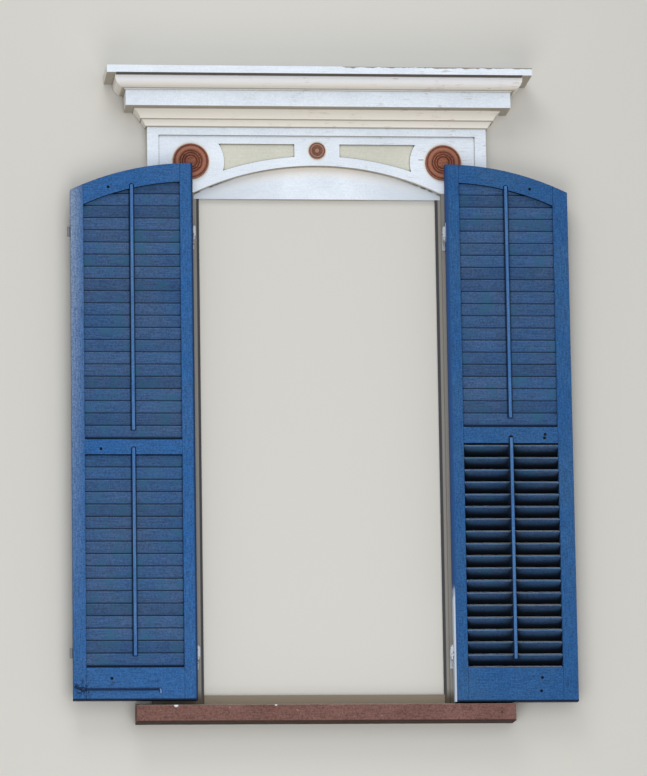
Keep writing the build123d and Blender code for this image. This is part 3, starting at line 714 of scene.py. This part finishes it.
# %% White on the hood, the frieze and the arch panel
hood_low, hood_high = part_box("hood")
bed_height = 52 * MM
crown_low, crown_high = 102 * MM, 142 * MM
cap_front_top = hood_high.z - 5 * MM
cap_seam_half = 0.632
rosettes_low, rosettes_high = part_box("rosettes")
large_radius = 55.5 * MM
small_radius = 25.5 * MM
board_face = rosettes_high.y
rosette_centres = {
    "left": Vector((rosettes_low.x + large_radius, board_face, rosettes_low.z + large_radius)),
    "right": Vector((rosettes_high.x - large_radius, board_face, rosettes_low.z + large_radius)),
    "small": Vector((0, board_face, rosettes_high.z - small_radius)),
}
rosette_radii = {"left": large_radius, "right": large_radius, "small": small_radius}
halos = [(rosette_centres[name], rosette_radii[name]) for name in rosette_centres]
arch_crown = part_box("arch_panel")[1].z
arch_radius = 902 * MM
arch_centre = (0, -12 * MM, arch_crown - arch_radius)

# the bed moulding and the crown painted lighter, as painted light, and the bed's seams darker, as
# painted shade
bands = (
    (0, bed_height, "#faf6ee"),
    (0, 1.5 * MM, "#a39c90"),
    (20 * MM, 22 * MM, "#a8a196"),
    (49 * MM, bed_height, "#bdb6aa"),
    (crown_low, crown_high, "#fafbff"),
)
hood_paint = white_paint(
    "weathered_white_oil_paint_on_hood",
    LEVEL,
    [(hood_low.z + start, hood_low.z + end, hex_value) for start, end, hex_value in bands],
    cracked=0.45,
    cap_seam_shade=(hood_low.z + crown_high, cap_seam_half),
    flaked_edge=(cap_front_top - 12 * MM, cap_front_top, hood_low.y),
)
frieze_paint = white_paint(
    "weathered_white_oil_paint_on_frieze", LEVEL, halos=halos, cracked=0.3
)
arch_paint = white_paint(
    "weathered_white_oil_paint_on_arch_panel", LEVEL, arch=(arch_centre, arch_radius, 40 * MM)
)
print("crown of the arch at", round(arch_crown / MM, 1), "mm")

# %% [markdown]
# Between the arch and the right rosette, the frieze has one short crack that shows the
# purplish primer.

# %% A crack beside the rosette
crack_middle, crack_half, crack_height = 0.325, 9 * MM, 1.728
soft, hard = 1.8 * MM, 0.6 * MM
tree = frieze_paint.node_tree
coords = tree.nodes["Texture Coordinate"]
over_foot = within(tree, coords, "Z", crack_height - soft, crack_height - hard)
under_head = within(tree, coords, "Z", crack_height + soft, crack_height + hard)
along_crack = aside(tree, coords, crack_middle, crack_half, crack_half - 2 * MM)
recoat(tree, [(where_all(tree, over_foot, under_head, along_crack), "#7a6872")])
print("crack at", round(crack_height, 3), "m")

# %% [markdown]
# The casings are washed white outside, but beside the opening, behind the blinds' edges, they
# are painted grey, and the stops, which line it, darkest: dirt and painted shade. Rain splashes
# off the sill have left their feet dark.

# %% Dirty white on the casings
stop_edge = 0.376
grey_edge = 0.405
splash_top = 75 * MM
casing_paint = white_paint("weathered_white_oil_paint_on_casings", UPRIGHT)
tree = casing_paint.node_tree
coords = tree.nodes["Texture Coordinate"]
by_opening = aside(tree, coords, 0.0, grey_edge + 20 * MM, grey_edge)
on_stop = aside(tree, coords, 0.0, stop_edge + 2 * MM, stop_edge)
by_sill = within(tree, coords, "Z", splash_top, splash_top - 30 * MM)
# grey beside the opening and darkest on the stops: dirt and painted shade
recoat(tree, [(by_opening, "#8e8b86"), (on_stop, "#45464a"), (by_sill, "#5f574b")])
print("casing paint:", casing_paint.name)

# %% [markdown]
# ## Stone colour on the spandrel panels
#
# The two sunk panels are a pale greenish stone colour, matt and even, with a grey line of
# painted shade where they meet the frieze.

# %% Stone-coloured paint
panel_paint, tree, coords = start_material("stone_coloured_oil_paint")
paint, height = old_paint(tree, coords, "#d2d2c6", "#ccccc0", LEVEL, 0.05)
# a grey line of painted shade round the panels' edges
edged = lay_coats(tree, paint, [(shade_and_soot_in_corners(tree, 8 * MM, 0.35, 0.8), "#7f8279")])
dry_finish(tree, edged, height, 0.7)
print("panel paint:", panel_paint.name)

# %% [markdown]
# ## Terracotta on the rosettes
#
# The rosettes are turned wood in a brick colour that has lost its gloss. The turned grooves are
# darkened by ambient occlusion, as dirt and painted shade, and the high rings have rubbed paler:
# how deep a point lies tells which they are. The small rosette in the middle has faded more than
# the large ones.

# %% Terracotta paint
rosette_paint, tree, coords = start_material("terracotta_oil_paint")
paint, height = old_paint(tree, coords, "#8f5a47", "#845343", LEVEL, 0.38)
coats = [
    (within(tree, coords, "Y", board_face - 9 * MM, board_face - 13 * MM), "#a5725e"),
    (aside(tree, coords, 0.0, 40 * MM, 30 * MM), "#a27868"),
    # the turned grooves darkened: dirt and painted shade
    (shade_and_soot_in_corners(tree, 5 * MM, 0.3, 0.8), "#5f3b30"),
]
dry_finish(tree, lay_coats(tree, paint, coats), height, 0.6)
print("rosette paint:", rosette_paint.name)

# %% [markdown]
# ## Red-brown and stone on the sill
#
# Only the sill's front is red-brown. Its sloping top is the stone beige of dirt and bare primer,
# and the front's upper arris is rubbed pale. Rain and feet have chipped the front, in pale
# spots a few millimetres wide, and left dark ones where mildew sits. Two larger chips on that
# arris have gone down to an older white coat. The front's foot, where water hangs, is dark,
# as weathering and painted shade.

# %% Weathered sill paint
sill_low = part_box("sill")[0]
front_top = sill_low.z + 51 * MM
sill_paint, tree, coords = start_material("weathered_red_brown_oil_paint")
paint, height = old_paint(tree, coords, "#6c4d46", "#775650", LEVEL, 0.32)
coats = [
    (in_patches(tree, coords, 9 * MM, 2.0, 0.73, 0.77), "#b39a90"),
    (in_patches(tree, coords, 9 * MM, 2.0, 0.31, 0.27), "#452f2a"),
]
for chip_x, reach in ((-0.4605, 8 * MM), (-0.1565, 5 * MM)):
    chip = (chip_x, sill_low.y, front_top)
    coats.append((round_point(tree, coords, chip, reach, reach * 0.6), "#dfe3e6"))
upper_arris = within(tree, coords, "Z", front_top - 6 * MM, front_top - 1 * MM)
coats += [
    (facing(tree, coords, "Z", 0.3, 0.7), "#867b6c"),
    # the dark foot: weathering and painted shade
    (within(tree, coords, "Z", sill_low.z + 4.5 * MM, sill_low.z + 1.5 * MM), "#3c2a24"),
    (within(tree, coords, "Z", front_top + 1 * MM, front_top + 3 * MM), "#8c8172"),
    (where_all(tree, along_edges(tree, coords, 2 * MM), upper_arris), "#a9a29b"),
]
dry_finish(tree, lay_coats(tree, paint, coats), height, 0.65)
print("top of the sill's front at", round(front_top / MM, 1), "mm")

# %% [markdown]
# ## Ironwork
#
# Hinges and their pintles are wrought iron under many coats of white, which flakes off in
# patches and leaves brown rust. Away from the hinges, the irons on a blind were painted blue
# with it, and so was the wire fastener, which is painted almost black, as grime and painted
# shade, but for its bright tip. The old eyes past the left blind's outer edge are grey. The
# screws are plain steel, rusted black in their sunk holes.

# %% Painted iron and rusty steel
WHITE_ON_RUST = ("#c4cad2", "#adb3ba", "#6a4a3a", 0.15)
hinge_end = 0.41
stile_end = -0.7712


def painted_iron(name, fresh, faded, rust, bare_share):
    """Paint on iron that has flaked to rust over about the share given."""
    material, tree, coords = start_material(name)
    paint, height = old_paint(tree, coords, fresh, faded, UPRIGHT)
    limit = 0.5 + (0.5 - bare_share) / 3  # a noise seldom leaves its middle third
    flaked = in_patches(tree, coords, 7 * MM, 3.0, limit, limit + 0.04)
    dry_finish(tree, lay_coats(tree, paint, [(flaked, rust)]), height, 0.6)
    return material


white_iron = painted_iron("white_paint_on_iron", *WHITE_ON_RUST)
blue_iron = painted_iron("white_and_blue_paint_on_iron", *WHITE_ON_RUST)
tree = blue_iron.node_tree
coords = tree.nodes["Texture Coordinate"]
off_hinge = aside(tree, coords, 0.0, hinge_end, hinge_end + 10 * MM)
past_stile = within(tree, coords, "X", stile_end, stile_end - 1 * MM)
recoat(tree, [(off_hinge, "#1f3453"), (past_stile, "#7c7f83")])

# the wire almost black: grime and painted shade
blue_wire = painted_iron("blue_paint_on_wire", "#16294a", "#1c3052", "#1c1518", 0.2)
tree = blue_wire.node_tree
coords = tree.nodes["Texture Coordinate"]
hook_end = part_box("left_hook")[1].x
recoat(tree, [(within(tree, coords, "X", hook_end - 6 * MM, hook_end - 4.5 * MM), "#6d8fbd")])
rusty_steel = painted_iron("rusted_steel", "#0a090b", "#100d0f", "#1c1310", 0.35)
print("iron finishes: 4")

# %% [markdown]
# ## Give each solid its finish
#
# A solid keeps its mesh and only changes its material. The names say what each piece is, so a
# short list of word pairs is enough: the first word found in a piece's name decides.

# %% Finishes of the solids
finish_by_word = (
    ("left_outer_stile", bloomed_paint),
    ("left_bottom_rail", scuffed_paint),
    ("right_bottom_rail", marked_rail_paint),
    ("right_outer_stile", marked_stile_paint),
    ("right_hinge_stile", right_hinge_paint),
    ("left_hinge_stile", stile_paint),
    ("left_lower_rod", rod_paints["left"]),
    ("right_lower_rod", rod_paints["right"]),
    ("left_upper_louvres", louvre_paints["left_upper"]),
    ("right_upper_louvres", louvre_paints["right_upper"]),
    ("left_louvre", louvre_paints["left_lower"]),
    ("right_louvre", louvre_paints["right_lower"]),
    ("left_top_rail", rail_paint),
    ("left_lock_rail", rail_paint),
    ("rail", right_rail_paint),
    ("hood", hood_paint),
    ("frieze", frieze_paint),
    ("arch_panel", arch_paint),
    ("side_casings", casing_paint),
    ("spandrel_panels", panel_paint),
    ("rosettes", rosette_paint),
    ("sill", sill_paint),
    ("hook", blue_wire),
    ("irons", blue_iron),
    ("pintles", white_iron),
)
for name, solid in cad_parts.items():
    finish = next(finish for word, finish in finish_by_word if word in name)
    solid.data.materials.clear()
    solid.data.materials.append(finish)
print("solids with a finish:", len(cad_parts))

# %% [markdown]
# ## Turned rosettes
#
# A rosette is turned on a lathe: a disc of wood, cut into rings with a gouge. On the solids the
# rings are plain. Here each disc starts as a cylinder with many sides, and its front face is
# inset again and again from the rim to the middle. An inset with a depth is one cut: in by its
# width, and up or down by its depth. A bead is six such cuts, and a quirk is a narrow deep one.

# %% Turn a disc
turning_sides = 96
large_thickness = 13 * MM
small_thickness = 9 * MM
BEAD = ((0.35, 0.62), (0.25, 0.26), (0.4, 0.12), (0.4, -0.12), (0.25, -0.26), (0.35, -0.62))


def start_shaping(piece):
    """Applies a new piece's place, and opens it in face mode with nothing selected."""
    bpy.ops.object.transform_apply(location=True, rotation=True, scale=True)
    bpy.ops.object.mode_set(mode="EDIT")
    bpy.ops.mesh.select_mode(type="FACE")
    bpy.ops.mesh.select_all(action="DESELECT")


def select_front(piece, radius, centre):
    """Selects the face in front that lies round a centre, in face mode."""
    bpy.ops.object.mode_set(mode="OBJECT")
    for face in piece.data.polygons:
        flat = Vector((face.center.x - centre.x, face.center.z - centre.z))
        in_front = face.normal.y < -0.9 and len(face.vertices) > 4
        face.select = in_front and flat.length < radius * 0.05
    bpy.ops.object.mode_set(mode="EDIT")


def turn_rosette(name, centre, radius, thickness):
    """A turned disc with a rim, a flat, a wide bead, two quirked rings and a button."""
    share = radius / large_radius
    depth = thickness / large_thickness
    rim_height = 9 * MM * depth
    bpy.ops.object.select_all(action="DESELECT")
    bpy.ops.mesh.primitive_cylinder_add(
        vertices=turning_sides,
        radius=radius,
        depth=rim_height,
        location=centre - Vector((0, rim_height / 2, 0)),
        rotation=(pi / 2, 0, 0),
    )
    piece = bpy.context.object
    start_shaping(piece)
    select_front(piece, radius, centre)
    cuts = [
        (1.2, 0.9), (2.0, 0.0), (0.8, -2.0), (1.2, -1.0),
        *[(step * 8.0, rise * 5.0) for step, rise in BEAD],
        (1.0, -1.2),
        *[(step * 3.2, rise * 3.4) for step, rise in BEAD],
        (0.9, -0.8),
        *[(step * 3.2, rise * 3.8) for step, rise in BEAD],
        (1.2, -1.0), (0.8, 1.4), (1.0, 1.6), (1.6, 1.0), (2.4, 0.5),
    ]
    for inward, rise in cuts:
        bpy.ops.mesh.inset(thickness=inward * MM * share, depth=rise * MM * depth)
    bpy.ops.object.mode_set(mode="OBJECT")
    piece.name = name
    piece.data.materials.append(rosette_paint)
    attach(piece, "surround")
    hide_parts("rosettes")
    proud = centre.y - min(vertex.co.y for vertex in piece.data.vertices)
    print(name, "stands", round(proud / MM, 2), "mm proud,", len(piece.data.polygons), "faces")


for side, centre in rosette_centres.items():
    thickness = small_thickness if side == "small" else large_thickness
    turn_rosette(f"{side}_rosette", centre, rosette_radii[side], thickness)

# %% [markdown]
# ## Old screws
#
# Eight screws are sunk in the rails of the blinds, where ironwork once sat. Each solid already
# has the countersunk hole, so the middle of a hole can be read from its bottom: the points at
# its full depth, gathered where they lie close together. The head is a cylinder with a bevelled
# rim, and a Boolean modifier cuts the slot. One head is modelled, then copied with its own mesh.
# The paint in and round each hole is darkened.

# %% Find the holes
screw_depth = 14 * MM
hole_spread = 6 * MM
depth_slack = 0.01 * MM


def screw_places(node):
    """Middles of a rail's screw holes, on its front face."""
    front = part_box(node)[0].y
    points = [v.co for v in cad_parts[node].data.vertices]
    groups = []
    for point in points:
        if abs(point.y - front - screw_depth) > depth_slack:
            continue
        near = [group for group in groups if (group[0] - point).length < hole_spread]
        if near:
            near[0].append(point)
        else:
            groups.append([point])
    middles = []
    for group in groups:
        xs = [point.x for point in group]
        zs = [point.z for point in group]
        middles.append(Vector(((min(xs) + max(xs)) / 2, front, (min(zs) + max(zs)) / 2)))
    return middles


rail_screws = {
    f"{side}_{rail}": screw_places(f"{side}_{rail}")
    for side in ("left", "right")
    for rail in ("top_rail", "lock_rail", "bottom_rail")
}
print("screws:", {rail: len(places) for rail, places in rail_screws.items()})

# %% Model one slotted head
head_radius = 3.1 * MM
head_height = 1.2 * MM
slot_width = 0.9 * MM
rim_width, rim_rise = 0.5 * MM, 0.25 * MM

bpy.ops.object.select_all(action="DESELECT")
bpy.ops.mesh.primitive_cylinder_add(
    vertices=20, radius=head_radius, depth=head_height, rotation=(pi / 2, 0, 0)
)
head = bpy.context.object
start_shaping(head)
select_front(head, head_radius, Vector((0, 0, 0)))
bpy.ops.mesh.inset(thickness=rim_width, depth=rim_rise)
bpy.ops.object.mode_set(mode="OBJECT")
bpy.ops.object.select_all(action="DESELECT")
bpy.ops.mesh.primitive_cube_add(size=1, location=(0, -head_height / 2, 0))
cutter = bpy.context.object
cutter.scale = (slot_width, head_height, 4 * head_radius)
cut = head.modifiers.new("slot", "BOOLEAN")
cut.operation = "DIFFERENCE"
cut.object = cutter
bpy.context.view_layer.objects.active = head
bpy.ops.object.modifier_apply(modifier=cut.name)
bpy.data.objects.remove(cutter)
head.data.materials.append(rusty_steel)
print("a screw head has", len(head.data.polygons), "faces")

# %% Put a head in each hole
dark_ring_reach = 5.2 * MM
head_drop = 1.6 * MM
slot_angles = (0.4, 1.3, 2.2, 0.9, 2.8, 1.8, 0.1, 2.5)


def darken_round_hole(material, place):
    """Darkens the paint in and round a screw's hole."""
    tree = material.node_tree
    coords = tree.nodes["Texture Coordinate"]
    recoat(tree, [(round_point(tree, coords, place, dark_ring_reach, dark_ring_reach * 0.8), "#0b1322")])


number = 0
for rail, places in rail_screws.items():
    side = rail.split("_")[0]
    for place in places:
        darken_round_hole(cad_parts[rail].data.materials[0], place)
        screw = head.copy()
        screw.data = head.data.copy()
        bpy.context.collection.objects.link(screw)
        seat = place + Vector((0, head_drop + head_height / 2, 0))
        turned = Matrix.Rotation(slot_angles[number], 4, "Y")
        screw.data.transform(Matrix.Translation(seat) @ turned)
        number += 1
        screw.name = f"{side}_rail_screw_{number}"
        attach(screw, f"{side}_leaf")
bpy.data.objects.remove(head)
print("screws set:", number)
